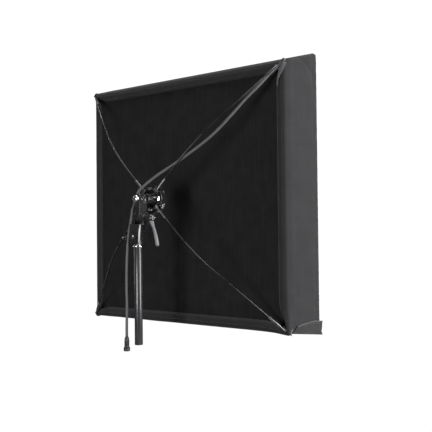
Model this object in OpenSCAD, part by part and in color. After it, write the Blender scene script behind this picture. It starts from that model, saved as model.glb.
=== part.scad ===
// Studio softbox on its tilt head and the top tube of a stand.
// Origin: centre of the stand tube's lower end. +Z runs up the tube, the light faces -Y.
// "Left" and "right" are as seen from behind, so left is +X and right is -X.

/* [Softbox] */
// Outer width and height of the softbox at its back
back_w = 620; // [560:5:680]
// Outer width and height of the softbox at its front
front_w = 664; // [640:2:720]
// Depth from the back plane to the front edge
box_depth = 103; // [85:1:130]
// How far the centre of the front lies above the centre of the back
front_rise = 9; // [0:1:12]
// Height of the softbox's centre above the tube's lower end
box_z = 341; // [335:1:350]
// Distance of the back plane in front of the tube's axis
back_gap = 158; // [150:1:170]
// Width of the folded border round the back
flange_w = 24; // [18:1:30]
// Depth of the light panel below the border's face
panel_recess = 8; // [6:0.5:12]

/* [Walls] */
// Thickness of the outer cloth
cloth_t = 1; // [0.6:0.1:1.2]
// Thickness of the stiffening boards in the walls
board_t = 2.4; // [1.5:0.1:3]
// Thickness of the reflective lining
lining_t = 0.6; // [0.4:0.1:1]
// Width of the hem round the front
hem_w = 18; // [12:1:24]
// Width of the closing flap on the right wall's lower end
flap_w = 36; // [25:1:50]
// How far the flap stands past the front edge
flap_over = 6; // [0:1:10]

/* [Light panel] */
// Number of emitters along each side of the panel
emitter_count = 12; // [6:1:14]
// Width of one emitter
emitter_w = 5; // [3:0.5:8]

/* [Rods] */
// Diameter of the bowed rods
rod_d = 4; // [3.6:0.1:4.4]
// Distance of the fold pins from the hub's axis
pivot_rho = 26; // [25:0.5:28]
// Slope of the rods' outer stretch towards the softbox, in degrees
rod_slope = 23; // [22:0.5:25]
// Distance from the hub's axis to where each rod starts to bow
rod_straight = 85; // [75:1:95]
// Length of the ferrule at each rod's outer end
ferrule_len = 35; // [25:1:45]

/* [Hub] */
// Diameter of the hub
hub_d = 68; // [66:1:72]
// Distance of the rods' pins in front of the tube's axis
hub_gap = 44; // [43:0.5:46]

/* [Tilt head] */
// Height of the tilt axis above the tube's lower end
tilt_z = 295; // [294:0.5:296]
// Distance of the tilt axis in front of the tube's axis
tilt_gap = 10; // [9:0.5:11]
// Width of the tongue between the fork's ears
tongue_w = 14; // [12:0.5:15]
// Diameter of the left ear of the fork
ear_d = 28; // [26:0.5:29]
// Length of the lever's handle below the tilt axis
lever_len = 62; // [50:1:70]

/* [Receiver and stand] */
// Width of the receiver block
receiver_w = 27; // [25:0.5:28]
// Outer diameter of the stand tube
tube_d = 19; // [19:0.5:20]
// Length of the stand tube
tube_len = 227; // [215:1:229]
// Diameter of the spigot that the head stands on
spigot_d = 15.9; // [15.9:0.1:16]
// Height of the clamp screw above the tube's lower end
clamp_z = 249; // [246:1:252]

/* [Lead] */
// Diameter of the lead
lead_d = 6.4; // [5:0.1:6.4]

/* [Hidden] */
$fn = 48;

slit = 0.05;              // gap between layers that lie on each other
run = 0.05;               // radial running clearance of a shaft
gap = 0.3;                // gap between faces of pieces that move past each other
back_y = -back_gap;
front_y = back_y - box_depth;
front_z = box_z + front_rise;
panel_y = back_y - panel_recess;
hub_y = -hub_gap;
tilt_y = -tilt_gap;
black = "#1b1b1d";
cloth_black = "#232325";
grey_cloth = "#4a4a4d";
gloss_black = "#141416";
steel = "#b9bbbf";
chrome = "#e4e6ea";

// ---------- Stand tube ----------
tube_bore = 16;
spigot_root = 39;         // length of the spigot inside the tube
collar_h = 4;
collar_d = 24;

module stand_tube() {
    color("#3a3a3e")
    difference() {
        cylinder(d = tube_d, h = tube_len);
        translate([0, 0, -1]) cylinder(d = tube_bore, h = tube_len + 2);
    }
}

plug_h = 14;
module tube_plug() {
    color(black) cylinder(d = tube_bore, h = plug_h);
}

module tube_collar() {
    color(chrome)
    translate([0, 0, tube_len])
    rotate_extrude()
    polygon([[tube_bore / 2, 0], [collar_d / 2 - 1, 0], [collar_d / 2, 1], [collar_d / 2, collar_h - 1],
             [collar_d / 2 - 1, collar_h], [tube_bore / 2, collar_h]]);
}

spigot_top = tilt_z - 18;
module spigot() {
    color(steel)
    union() {
        translate([0, 0, tube_len - spigot_root]) cylinder(d = tube_bore, h = spigot_root + collar_h);
        translate([0, 0, tube_len + collar_h]) cylinder(d = spigot_d, h = spigot_top - tube_len - collar_h);
    }
}

// ---------- Receiver ----------
receiver_bottom = tube_len + collar_h + 3;
receiver_top = tilt_z - 14;
socket_h = spigot_top + 2 - receiver_bottom;
bush_d = 20;
washer_t = 1;
ear_in = tongue_w / 2 + 0.1 + washer_t;
left_ear_t = 5.3;
right_ear_t = 9.6;
right_ear_d = 26;
bolt_d = 8;
screw_d = 6;

neck_in = 1.5;            // how far the ear's neck is set in from its disc
// Ear of the fork: a disc round the tilt axis on a neck that stands on the block, t thick.
module ear(d, t) {
    rotate([90, 0, 90])
    linear_extrude(t)
    union() {
        translate([tilt_y, tilt_z]) circle(d = d);
        translate([tilt_y - d / 2 + neck_in, receiver_top - 2])
        square([d - 2 * neck_in, tilt_z - receiver_top + 2]);
    }
}

module receiver_body() {
    color(gloss_black)
    difference() {
        union() {
            translate([-receiver_w / 2, -receiver_w / 2, receiver_bottom])
            cube([receiver_w, receiver_w, receiver_top - receiver_bottom]);
            translate([ear_in, 0, 0]) ear(ear_d, left_ear_t);
            translate([-ear_in - right_ear_t, 0, 0]) ear(right_ear_d, right_ear_t);
        }
        translate([0, 0, receiver_bottom - 1]) cylinder(d = bush_d, h = socket_h + 1);
        translate([-40, tilt_y, tilt_z]) rotate([0, 90, 0]) cylinder(d = bolt_d, h = 80);
        translate([0, 0, clamp_z]) rotate([0, 90, 0]) cylinder(d = screw_d, h = 40);
        translate([-ear_in, tilt_y, tilt_z]) rotate([0, 90, 0]) cylinder(d = ear_d + 2, h = 2 * ear_in);
        translate([4, receiver_w / 2 - 4, clamp_z + 2]) rotate([-90, 0, 0]) cylinder(d = 3, h = 10);
    }
}

module socket_bush() {
    color("#a88a4a")
    difference() {
        translate([0, 0, receiver_bottom]) cylinder(d = bush_d, h = socket_h);
        translate([0, 0, receiver_bottom - 1]) cylinder(d = spigot_d + 2 * run, h = socket_h + 2);
        translate([0, 0, clamp_z]) rotate([0, 90, 0]) cylinder(d = screw_d, h = 40);
    }
}

// Small screw with a domed head in the block's rear face.
module socket_screw() {
    color(chrome)
    translate([4, receiver_w / 2, clamp_z + 2])
    rotate([-90, 0, 0])
    rotate_extrude()
    polygon([[0, -3], [1.5, -3], [1.5, 0], [3, 0], [3, 1], [2.4, 1.8], [0, 2.2]]);
}

bolt_left = ear_in + left_ear_t;
bolt_right = 36;
bolt_head_r = 9;
module pivot_bolt() {
    color(steel)
    union() {
        translate([-bolt_right, tilt_y, tilt_z])
        rotate([0, 90, 0])
        cylinder(d = bolt_d, h = bolt_right + bolt_left);
        translate([bolt_left, tilt_y, tilt_z])
        rotate([0, 90, 0])
        rotate_extrude()
        polygon([[0, 0], [bolt_head_r, 0], [bolt_head_r, 2.2], [bolt_head_r - 1.2, 3.4], [0, 3.8]]);
    }
}

module friction_washers() {
    color("#8c8f94")
    for (x = [tongue_w / 2 + 0.1, -ear_in])
    translate([x, tilt_y, tilt_z])
    rotate([0, 90, 0])
    difference() {
        cylinder(d = 22, h = washer_t);
        translate([0, 0, -1]) cylinder(d = bolt_d, h = washer_t + 2);
    }
}

// ---------- Lever ----------
boss_in = ear_in + right_ear_t + gap;
boss_wall = 3;
boss_out = 38;
boss_cavity_d = 13;
lever_w = 10;
lever_head_x = -32;
lever_lean = 19;          // how far the handle's end stands outwards
lever_bow = 2;            // how far the handle's middle is bowed outwards
lever_steps = 5;
handle_r = 3.9;
cap_t = 3;                // thickness of the boss's end cap

// Point on the handle's centre line in the XZ plane, t from 0 at the boss to 1 at the end.
function lever_point(t) = [lever_head_x - lever_lean * t - lever_bow * sin(180 * t), tilt_z - lever_len * t];

module tilt_lever() {
    color(gloss_black)
    difference() {
        union() {
            translate([-boss_out, tilt_y, tilt_z])
            rotate([0, 90, 0])
            rotate_extrude()
            polygon([[0, 0], [7, 0], [8.2, 4], [9, boss_out - boss_in], [0, boss_out - boss_in]]);
            translate([-boss_out - cap_t, tilt_y, tilt_z]) rotate([0, 90, 0]) cylinder(d = 14, h = cap_t);
            translate([0, tilt_y + lever_w / 2, 0])
            rotate([90, 0, 0])
            linear_extrude(lever_w)
            for (i = [0:lever_steps - 1])
            hull() {
                translate(lever_point(i / lever_steps)) circle(r = handle_r, $fn = 24);
                translate(lever_point((i + 1) / lever_steps)) circle(r = handle_r, $fn = 24);
            }
        }
        translate([-boss_out + boss_wall, tilt_y, tilt_z])
        rotate([0, 90, 0])
        cylinder(d = boss_cavity_d, h = boss_out);
        translate([-boss_out, tilt_y, tilt_z]) rotate([0, 90, 0]) cylinder(d = bolt_d + 2 * run, h = 20);
        translate([-boss_out - cap_t - 1, tilt_y, tilt_z]) rotate([0, 90, 0]) cylinder(d = 4, h = 20);
    }
}

module lever_screw() {
    color(chrome)
    translate([-boss_out - cap_t, tilt_y, tilt_z])
    rotate([0, -90, 0])
    rotate_extrude()
    polygon([[0, -4.5], [2, -4.5], [2, 0], [4.8, 0], [4.8, 1.2], [3.8, 2.2], [0, 2.4]]);
}

// Closed tube of the given radius and number of sides round the points of a path.
function path_dir(p, i) =
    let (a = p[max(i - 1, 0)], b = p[min(i + 1, len(p) - 1)]) (b - a) / norm(b - a);
function side_of(d, up) = let (s = cross(d, up)) s / norm(s);
module sweep_tube(p, r, sides, up = [0, 1, 0]) {
    rings = [for (i = [0:len(p) - 1]) let (d = path_dir(p, i), s = side_of(d, up), u = cross(s, d))
        for (k = [0:sides - 1]) p[i] + r * (cos(360 * k / sides) * s + sin(360 * k / sides) * u)];
    skin = [for (i = [0:len(p) - 2], k = [0:sides - 1])
        let (a = i * sides + k, b = i * sides + (k + 1) % sides) [a, b, b + sides, a + sides]];
    ends = [[for (k = [sides - 1:-1:0]) k], [for (k = [0:sides - 1]) (len(p) - 1) * sides + k]];
    polyhedron(rings, concat(skin, ends), convexity = 8);
}

spring_r = 5.3;
spring_wire = 1.2;
spring_turns = 4;
spring_steps = 12;        // rings in each turn of the spring
spring_len = 11;
spring_x = -boss_out + boss_wall + 1;
spring_path = [for (i = [0:spring_turns * spring_steps])
    let (a = 360 * i / spring_steps, t = i / (spring_turns * spring_steps))
    [spring_x + spring_len * t, tilt_y + spring_r * cos(a), tilt_z + spring_r * sin(a)]];
module lever_spring() {
    color(steel) sweep_tube(spring_path, spring_wire / 2, 6, [1, 0, 0]);
}

// ---------- Clamp screw and T-knob ----------
knob_x = 34;
knob_bar = 24;
knob_turn = -6;          // rest angle of the T-bar about the screw
module clamp_knob() {
    color(gloss_black)
    translate([knob_x, 0, clamp_z])
    difference() {
        union() {
            rotate([0, 90, 0]) cylinder(d1 = 11, d2 = 13, h = 9);
            rotate([knob_turn, 0, 0])
            translate([5, 0, 0])
            linear_extrude(7, center = true)
            hull() {
                for (y = [-1, 1]) translate([1.5, y * (knob_bar / 2 - 4)]) circle(r = 4, $fn = 32);
            }
        }
        translate([-1, 0, 0]) rotate([0, 90, 0]) cylinder(d = screw_d, h = 8);
    }
}

pad_t = 2;
pad_x = spigot_d / 2 + 0.1;
module clamp_screw() {
    color(chrome)
    translate([pad_x + pad_t, 0, clamp_z])
    rotate([0, 90, 0])
    cylinder(d = screw_d - 2 * run, h = knob_x + 6 - pad_x - pad_t);
}

module clamp_pad() {
    color("#c09a4c")
    translate([pad_x, 0, clamp_z]) rotate([0, 90, 0]) cylinder(d = 5, h = pad_t);
}

// ---------- Head ----------
block_front = tilt_y - 14;
block_back = tilt_y + 13;
block_top = box_z + 11;
tongue_d = 24;
spindle_d = 12;
hub_back = hub_y - 6;
hub_t = 12;               // thickness of the hub inside its rim
hub_r = hub_d / 2;
hub_front = hub_back - hub_t;
cover_t = 3;

module head_block() {
    color(gloss_black)
    difference() {
        union() {
            translate([-tongue_w / 2, block_front, tilt_z + 15])
            cube([tongue_w, block_back - block_front, block_top - tilt_z - 15]);
            translate([0, tilt_y, tilt_z])
            rotate([0, 90, 0])
            cylinder(d = tongue_d, h = tongue_w, center = true);
            translate([-tongue_w / 2, tilt_y - tongue_d / 2, tilt_z]) cube([tongue_w, tongue_d, 16]);
            translate([-tongue_w / 2 - 1, block_front - 1, block_top - 3])
            cube([tongue_w + 2, block_back - block_front + 2, 3]);
        }
        translate([-20, tilt_y, tilt_z]) rotate([0, 90, 0]) cylinder(d = bolt_d + 2 * run, h = 40);
        translate([0, block_front - 2, box_z]) rotate([-90, 0, 0]) cylinder(d = spindle_d, h = 40);
        for (s = block_screw_places) translate([-tongue_w / 2 - 1, s[0], s[1]])
            rotate([0, 90, 0]) cylinder(d = 2.5, h = 4);
    }
}

// Places of the three small screws in the block's right side that hold the spindle, as [y, z].
block_screw_places = [[tilt_y + 4, box_z - 2], [tilt_y - 2, box_z + 2], [tilt_y - 8, box_z - 2]];
module block_screws() {
    color(chrome)
    for (s = block_screw_places)
    translate([-tongue_w / 2, s[0], s[1]])
    rotate([0, -90, 0])
    rotate_extrude()
    polygon([[0, -0.8], [1.25, -0.8], [1.25, 0], [2.4, 0], [2.4, 0.8], [1.8, 1.4], [0, 1.5]]);
}

module spindle() {
    color(steel)
    translate([0, hub_front, box_z]) rotate([-90, 0, 0]) cylinder(d = spindle_d, h = block_back - hub_front);
}

module spindle_cap() {
    color(chrome)
    translate([0, block_back, box_z])
    rotate([-90, 0, 0])
    rotate_extrude()
    polygon([[0, 0], [7, 0], [7.8, 0.8], [7.8, 4.5], [7, 6], [5, 7.2], [2.5, 7.8], [0, 8]]);
}

// Flared neck from the block's front face to the hub, and its bore for the spindle.
module hub_neck() {
    color(gloss_black)
    translate([0, hub_back, box_z])
    rotate([-90, 0, 0])
    rotate_extrude()
    polygon([[spindle_d / 2, 0], [18.5, 0], [16, 4], [14, 9], [12.8, 15], [12.8, block_front - 1 - hub_back],
             [spindle_d / 2, block_front - 1 - hub_back]]);
}

corner_angles = [45, 135, 225, 315];     // upper left, upper right, lower right, lower left
// Places children, made along +X in the XY plane, in one rod's diagonal plane.
module at_corner(i) {
    translate([0, 0, box_z]) rotate([0, -corner_angles[i], 0]) children();
}

rim_top = hub_t + 3.5;    // top of the raised rim
module hub_disc() {
    color(black)
    difference() {
        translate([0, hub_front, box_z])
        rotate([-90, 0, 0])
        rotate_extrude()
        polygon([[spindle_d / 2, 0], [hub_r - 1, 0], [hub_r, 1], [hub_r, rim_top - 1], [hub_r - 1, rim_top],
                 [hub_r - 4, rim_top], [hub_r - 5, hub_t], [spindle_d / 2, hub_t]]);
        for (i = [0:3]) at_corner(i) translate([pivot_rho, hub_back, -8]) cube([20, 10, 16]);
    }
}

module hub_cover() {
    color(black)
    translate([0, hub_front, box_z])
    rotate([90, 0, 0])
    rotate_extrude()
    polygon([[0, 0], [30, 0], [30, 1.5], [28.5, cover_t], [0, cover_t]]);
}

module cover_screws() {
    color(chrome)
    for (a = [0, 90, 180, 270])
    translate([22 * cos(a), hub_front - cover_t, box_z + 22 * sin(a)])
    rotate([90, 0, 0])
    rotate_extrude()
    polygon([[0, 0], [2.8, 0], [2.8, 0.8], [2, 1.6], [0, 1.8]]);
}

// ---------- Fold hinges of the rods ----------
eye_d = 9;
eye_w = 8;
pin_d = 3;
cheek_t = 2;
cheek_mid = eye_w / 2 + gap + cheek_t / 2;
module rod_brackets() {
    color(gloss_black)
    for (i = [0:3], s = [-1, 1])
    at_corner(i)
    difference() {
        union() {
            translate([pivot_rho, hub_y, s * cheek_mid]) cylinder(d = eye_d, h = cheek_t, center = true);
            translate([pivot_rho - eye_d / 2, hub_back, s * cheek_mid - cheek_t / 2])
            cube([eye_d, hub_y - hub_back, cheek_t]);
        }
        translate([pivot_rho, hub_y, 0]) cylinder(d = pin_d, h = 40, center = true);
    }
}

module hinge_pins() {
    color(steel)
    for (i = [0:3])
    at_corner(i)
    translate([pivot_rho, hub_y, 0])
    cylinder(d = pin_d, h = eye_w + 2 * gap + 2 * cheek_t, center = true);
}

clip_rho = 21.5;
clip_w = 10;
clip_d = 7;
clip_h = 6.5;
clip_t = 1.2;
// Bright spring clip beside each hinge: a bent strip standing on the hub between two rods.
module rod_clips() {
    color(chrome)
    for (i = [0:3])
    at_corner(i)
    rotate([0, 45, 0])
    translate([clip_rho, hub_back, -clip_w / 2])
    linear_extrude(clip_w)
    difference() {
        union() {
            square([clip_d, clip_h]);
            translate([clip_d / 2, clip_h]) circle(d = clip_d);
        }
        translate([clip_t, clip_t]) square([clip_d - 2 * clip_t, clip_h - clip_t]);
        translate([clip_d / 2, clip_h]) circle(d = clip_d - 2 * clip_t);
    }
}

// ---------- Rods ----------
// A rod's line lies in its diagonal plane: straight from the pin, an arc that bows it, then a
// straight stretch to the corner. The arc's radius follows from where both ends have to be.
tip_rho = back_w / 2 * sqrt(2) - 7;
tip_y = back_y + 4.5;
sleeve_in = 6;
sleeve_start = pivot_rho + sleeve_in;
sleeve_len = 34;
sleeve_d = 6;
rod_R = ((tip_rho - rod_straight) * tan(rod_slope) - (hub_y - tip_y)) / (1 / cos(rod_slope) - 1);
bend_end = [rod_straight + rod_R * sin(rod_slope), hub_y - rod_R * (1 - cos(rod_slope))];
outer_len = (tip_rho - bend_end[0]) / cos(rod_slope);
ferrule_d = 7;
pin_len = 14;

rod_steps = 12;           // rings along each rod's arc
rod_path = concat(
    [[sleeve_start, hub_y, 0]],
    [for (k = [0:rod_steps]) let (a = rod_slope * k / rod_steps)
        [rod_straight + rod_R * sin(a), hub_y - rod_R * (1 - cos(a)), 0]],
    [bend_end + (outer_len - pin_len - ferrule_len + 10) * [cos(rod_slope), -sin(rod_slope)]]
);

module rod(i) {
    color("#5c5e62") at_corner(i) sweep_tube([for (p = rod_path) [p[0], p[1], 0]], rod_d / 2, 12, [0, 0, 1]);
}

module sleeve(i) {
    color(steel)
    at_corner(i)
    difference() {
        union() {
            translate([pivot_rho, hub_y, 0]) cylinder(d = eye_d, h = eye_w, center = true);
            translate([pivot_rho, hub_y - 3.2, -eye_w / 2 + 0.8]) cube([sleeve_in, 6.4, eye_w - 1.6]);
            translate([sleeve_start, hub_y, 0]) rotate([0, 90, 0]) cylinder(d = sleeve_d, h = sleeve_len);
        }
        translate([pivot_rho, hub_y, 0]) cylinder(d = pin_d + 2 * run, h = 20, center = true);
        translate([sleeve_start, hub_y, 0]) rotate([0, 90, 0]) cylinder(d = rod_d, h = sleeve_len + 1);
    }
}

module ferrule(i) {
    color("#8d9096")
    at_corner(i)
    translate([bend_end[0], bend_end[1], 0])
    rotate([0, 0, -rod_slope])
    rotate([0, 90, 0])
    translate([0, 0, outer_len - pin_len - ferrule_len])
    difference() {
        rotate_extrude()
        polygon([[0, 0], [ferrule_d / 2 - 0.6, 0], [ferrule_d / 2, 0.6], [ferrule_d / 2, ferrule_len - 1],
                 [ferrule_d / 2 - 1, ferrule_len], [2, ferrule_len], [2, ferrule_len + pin_len - 1],
                 [1, ferrule_len + pin_len], [0, ferrule_len + pin_len]]);
        translate([0, 0, -1]) cylinder(d = rod_d, h = 11);
    }
}

// ---------- Softbox walls ----------
// The four corners of the softbox at depth y (its back or its front), moved in by inset.
// Order: upper left, upper right, lower right, lower left.
function box_half(y) = (back_w + (front_w - back_w) * (back_y - y) / box_depth) / 2;
function box_mid(y) = box_z + front_rise * (back_y - y) / box_depth;
function box_corner(i, y, inset) =
    let (h = box_half(y) - inset, m = box_mid(y))
    [i == 0 || i == 3 ? h : -h, y, i < 2 ? m + h : m - h];

// Solid between four points of an outer face and the matching four of an inner face.
module slab(outer, inner) {
    hull() polyhedron(concat(outer, inner),
        [[0, 1, 2, 3], [7, 6, 5, 4], [0, 4, 5, 1], [1, 5, 6, 2], [2, 6, 7, 3], [3, 7, 4, 0]]);
}

// One layer of wall k, between corners k and k + 1, with mitred ends.
module wall_layer(k, y0, y1, inset, t) {
    j = (k + 1) % 4;
    slab([for (c = [[k, y0], [j, y0], [j, y1], [k, y1]]) box_corner(c[0], c[1], inset)],
         [for (c = [[k, y0], [j, y0], [j, y1], [k, y1]]) box_corner(c[0], c[1], inset + t)]);
}

module wall(k) {
    color(k == 1 || k == 3 ? grey_cloth : cloth_black) wall_layer(k, back_y - 3, front_y, 0, cloth_t);
}

board_inset = cloth_t + slit;
lining_inset = board_inset + board_t + slit;
module wall_boards() {
    color("#55504a")
    for (k = [0:3]) wall_layer(k, back_y - 10, front_y + 2, board_inset, board_t);
}

module wall_linings() {
    color("#c9ccd0")
    for (k = [0:3]) wall_layer(k, back_y - 14, front_y + 2, lining_inset, lining_t);
}

// Square frame in the XZ plane between depths y0 and y1, centred at height zc.
module frame(zc, outer, width, y0, y1, r = 6) {
    translate([0, y0, zc])
    rotate([90, 0, 0])
    linear_extrude(y0 - y1)
    difference() {
        offset(r = r) square(outer - 2 * r, center = true);
        square(outer - 2 * width, center = true);
    }
}

flange_t = 3;
module back_flange() {
    color(cloth_black) frame(box_z, back_w, flange_w, back_y, back_y - flange_t);
}

// Cups in the four corners, open to the back, that take the rods' end pins.
cup_w = 9;
cup_h = 5.5;
module corner_pockets() {
    color(black)
    for (i = [0:3])
    at_corner(i)
    difference() {
        translate([tip_rho - 13, back_y, -cup_w / 2]) cube([15, cup_h, cup_w]);
        translate([tip_rho - 14, back_y + 1.5, -3]) cube([15, cup_h, 6]);
    }
}

// Closing flap of the right wall, folded up from the lower edge.
flap_t = 1.4;
flap_off = 0.5;
module corner_flap() {
    y0 = back_y - 4;
    y1 = front_y - flap_over;
    low0 = box_corner(2, y0, -flap_off);
    low1 = box_corner(2, y1, -flap_off);
    out = [-flap_t, 0, 0];
    up = [0, 0, flap_w];
    color(grey_cloth)
    slab([low0 + out, low1 + out, low1 + out + up, low0 + out + up],
         [low0, low1, low1 + up, low0 + up]);
}

hem_t = 2.5;
tape_t = 0.8;
module front_hem() {
    color(cloth_black) frame(front_z, front_w, hem_w, front_y, front_y - hem_t);
}

tape_y = front_y - hem_t;
module front_tape() {
    color(black) frame(front_z, front_w - 4, hem_w - 4, tape_y, tape_y - tape_t, 4);
}

diffuser_y = tape_y - tape_t - 0.2;
module diffuser_tape() {
    color(black) frame(front_z, front_w - 4, hem_w - 4, diffuser_y, diffuser_y - tape_t, 4);
}

module diffuser() {
    color("#f4f4f2")
    translate([0, diffuser_y - tape_t, front_z])
    rotate([90, 0, 0])
    linear_extrude(1)
    offset(r = 6) square(front_w - 12, center = true);
}

// ---------- Light panel ----------
panel_w = back_w - 2 * flange_w + 12;
panel_cloth_t = 1.6;
mat_t = 1.2;
module panel_plate(w, y, t, r) {
    translate([0, y, box_z])
    rotate([90, 0, 0])
    linear_extrude(t)
    offset(r = r)
    square(w - 2 * r, center = true);
}

module panel_cloth() {
    color(cloth_black) panel_plate(panel_w, panel_y, panel_cloth_t, 5);
}

mat_y = panel_y - panel_cloth_t - slit;
module led_mat() {
    color("#e7e2cf") panel_plate(panel_w - 16, mat_y, mat_t, 4);
}

emitter_y = mat_y - mat_t - slit;
module led_emitters() {
    pitch = (panel_w - 40) / emitter_count;
    color("#f2d477")
    for (i = [0:emitter_count - 1], j = [0:emitter_count - 1])
    translate([(i - (emitter_count - 1) / 2) * pitch - emitter_w / 2, emitter_y - 1,
               box_z + (j - (emitter_count - 1) / 2) * pitch - emitter_w / 2])
    cube([emitter_w, 1, emitter_w]);
}

// ---------- Lead ----------
// The upper stretch runs from the upper right corner beside the rod, under it, and over the head block
// to its left side; the lower stretch hangs beside the receiver and the stand tube.
upper_route = [
    [-299, -150, 627], [-289, -144.5, 619], [-273, -135.5, 604], [-257, -126.5, 589], [-240.5, -117, 572.5],
    [-227, -109, 557], [-215, -100.5, 541], [-202, -92, 524], [-187, -84, 506], [-169, -76.5, 488],
    [-147, -68.5, 469.5], [-117, -60, 449], [-87, -53, 430.5], [-58, -42.5, 412], [-34, -31, 395.5],
    [-18, -22.5, 382.5], [-5, -16.5, 371.5], [5.5, -14, 362.5], [11.5, -12, 353], [14, -9.5, 343],
    [14.5, -6, 333], [15, -2, 322], [16, 2, 311]
];
lower_route = [
    [19, 9, 268], [20, 10.5, 256], [21, 11.5, 243], [22, 12.5, 228], [23.5, 13.5, 198], [24.5, 14, 162],
    [24.5, 14.5, 126], [24, 14, 92], [24.5, 14, 62], [25, 14, 38], [25, 14, 18]
];
// Points of a smooth curve through a route, steps of them for each stretch.
function spline(a, b, c, d, t) =
    0.5 * (2 * b + (c - a) * t + (2 * a - 5 * b + 4 * c - d) * t * t + (3 * b - a - 3 * c + d) * t * t * t);
function smooth_route(p, steps) = concat(
    [for (i = [0:len(p) - 2], s = [0:steps - 1])
        spline(p[max(i - 1, 0)], p[i], p[i + 1], p[min(i + 2, len(p) - 1)], s / steps)],
    [p[len(p) - 1]]);

module lead_upper() {
    color("#2b2b2e") sweep_tube(smooth_route(upper_route, 2), lead_d / 2, 10);
}

module lead_lower() {
    color("#2b2b2e") sweep_tube(smooth_route(lower_route, 2), lead_d / 2, 10);
}

gland_len = 8.5;
gland_r = 4.6;
module lead_gland() {
    a = upper_route[0];
    d = (upper_route[1] - a) / norm(upper_route[1] - a);
    color(black)
    translate(a)
    multmatrix(look_along(-d))
    rotate_extrude()
    polygon([[0, 0], [lead_d / 2 + 0.6, 0], [gland_r, 1.5], [gland_r, gland_len], [0, gland_len]]);
}

// Matrix that turns +Z onto the direction d.
function look_along(d) =
    let (s = side_of(d, [0, 1, 0]), u = cross(d, s))
    [[s[0], u[0], d[0], 0], [s[1], u[1], d[1], 0], [s[2], u[2], d[2], 0]];

plug_top = lower_route[len(lower_route) - 1];
grip_len = 24;
plug_len = 30;
barrel_r = 5;
module lead_plug() {
    color(black)
    translate(plug_top)
    rotate([180, 0, 0])
    rotate_extrude()
    polygon([[0, 0], [lead_d / 2 + 0.8, 0], [lead_d / 2 + 1.4, 2], [6, 9], [6, grip_len],
             [barrel_r, grip_len], [barrel_r, plug_len], [0, plug_len]]);
}

module lead_nut() {
    color("#3c3c40")
    translate(plug_top - [0, 0, grip_len + slit])
    rotate([180, 0, 0])
    difference() {
        cylinder(d = 15, h = 9);
        translate([0, 0, -1]) cylinder(r = barrel_r + run, h = 11);
    }
}

// ---------- Assembly ----------
stand_tube();
tube_plug();
tube_collar();
spigot();
receiver_body();
socket_bush();
socket_screw();
pivot_bolt();
friction_washers();
tilt_lever();
lever_screw();
lever_spring();
clamp_knob();
clamp_screw();
clamp_pad();
head_block();
block_screws();
spindle();
spindle_cap();
hub_neck();
hub_disc();
hub_cover();
cover_screws();
rod_brackets();
rod_clips();
hinge_pins();
rod(0);  // rod_upper_left
rod(1);  // rod_upper_right
rod(2);  // rod_lower_right
rod(3);  // rod_lower_left
sleeve(0);  // sleeve_upper_left
sleeve(1);  // sleeve_upper_right
sleeve(2);  // sleeve_lower_right
sleeve(3);  // sleeve_lower_left
ferrule(0);  // ferrule_upper_left
ferrule(1);  // ferrule_upper_right
ferrule(2);  // ferrule_lower_right
ferrule(3);  // ferrule_lower_left
wall(0);  // wall_top
wall(1);  // wall_right
wall(2);  // wall_bottom
wall(3);  // wall_left
wall_boards();
wall_linings();
back_flange();
corner_pockets();
corner_flap();
front_hem();
front_tape();
diffuser();
diffuser_tape();
panel_cloth();
led_mat();
led_emitters();
lead_upper();
lead_lower();
lead_gland();
lead_plug();
lead_nut();
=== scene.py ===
"""Looks of a square softbox on its tilt head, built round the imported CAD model.

Row frame, in metres: +Z runs up the stand tube, the light faces -Y. "Left" and "right" are as
seen from behind the softbox, so left is +X and right is -X.
"""

import math

import bpy
import numpy as np
from mathutils import Matrix, Vector, noise


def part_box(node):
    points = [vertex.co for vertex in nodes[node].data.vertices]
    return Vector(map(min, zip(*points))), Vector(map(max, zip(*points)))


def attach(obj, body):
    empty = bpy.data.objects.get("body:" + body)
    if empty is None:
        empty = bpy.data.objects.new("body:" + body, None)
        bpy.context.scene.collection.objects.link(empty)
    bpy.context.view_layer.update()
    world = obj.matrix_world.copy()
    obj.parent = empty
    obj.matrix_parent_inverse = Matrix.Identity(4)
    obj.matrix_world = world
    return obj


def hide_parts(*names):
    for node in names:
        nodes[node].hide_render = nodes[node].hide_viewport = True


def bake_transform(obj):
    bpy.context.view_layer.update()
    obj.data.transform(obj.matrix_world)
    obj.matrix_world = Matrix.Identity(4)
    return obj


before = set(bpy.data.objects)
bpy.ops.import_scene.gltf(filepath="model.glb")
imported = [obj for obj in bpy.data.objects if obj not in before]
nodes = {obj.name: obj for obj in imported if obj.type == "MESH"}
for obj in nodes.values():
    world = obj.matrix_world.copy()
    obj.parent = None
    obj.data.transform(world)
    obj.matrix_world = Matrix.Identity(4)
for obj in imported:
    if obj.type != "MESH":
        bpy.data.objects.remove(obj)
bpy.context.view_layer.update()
MM = 0.001
UP = Vector((0, 0, 1))
BACKWARD = Vector((0, 1, 0))

# ---------- Places taken from the frame ----------
flange_low, flange_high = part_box("back_flange")
hem_low, hem_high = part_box("front_hem")
PANEL_HALF, PANEL_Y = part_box("panel_cloth")[1][:2]
mat_low, mat_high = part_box("led_mat")
EMITTER_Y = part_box("led_emitters")[0].y
diffuser_low, diffuser_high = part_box("diffuser")
flap_low, flap_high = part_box("corner_flap")
BACK_HALF = flange_high.x
BACK_Y = flange_high.y
BACK_MID = (flange_low.z + flange_high.z) / 2
FRONT_HALF = hem_high.x
FRONT_Y = hem_high.y
FRONT_MID = (hem_low.z + hem_high.z) / 2
FLANGE_W = 24 * MM
LEAST_RADIUS = 2 * MM


def linked(name, data):
    """A new object of the scene, with that data."""
    obj = bpy.data.objects.new(name, data)
    bpy.context.scene.collection.objects.link(obj)
    return obj


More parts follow.
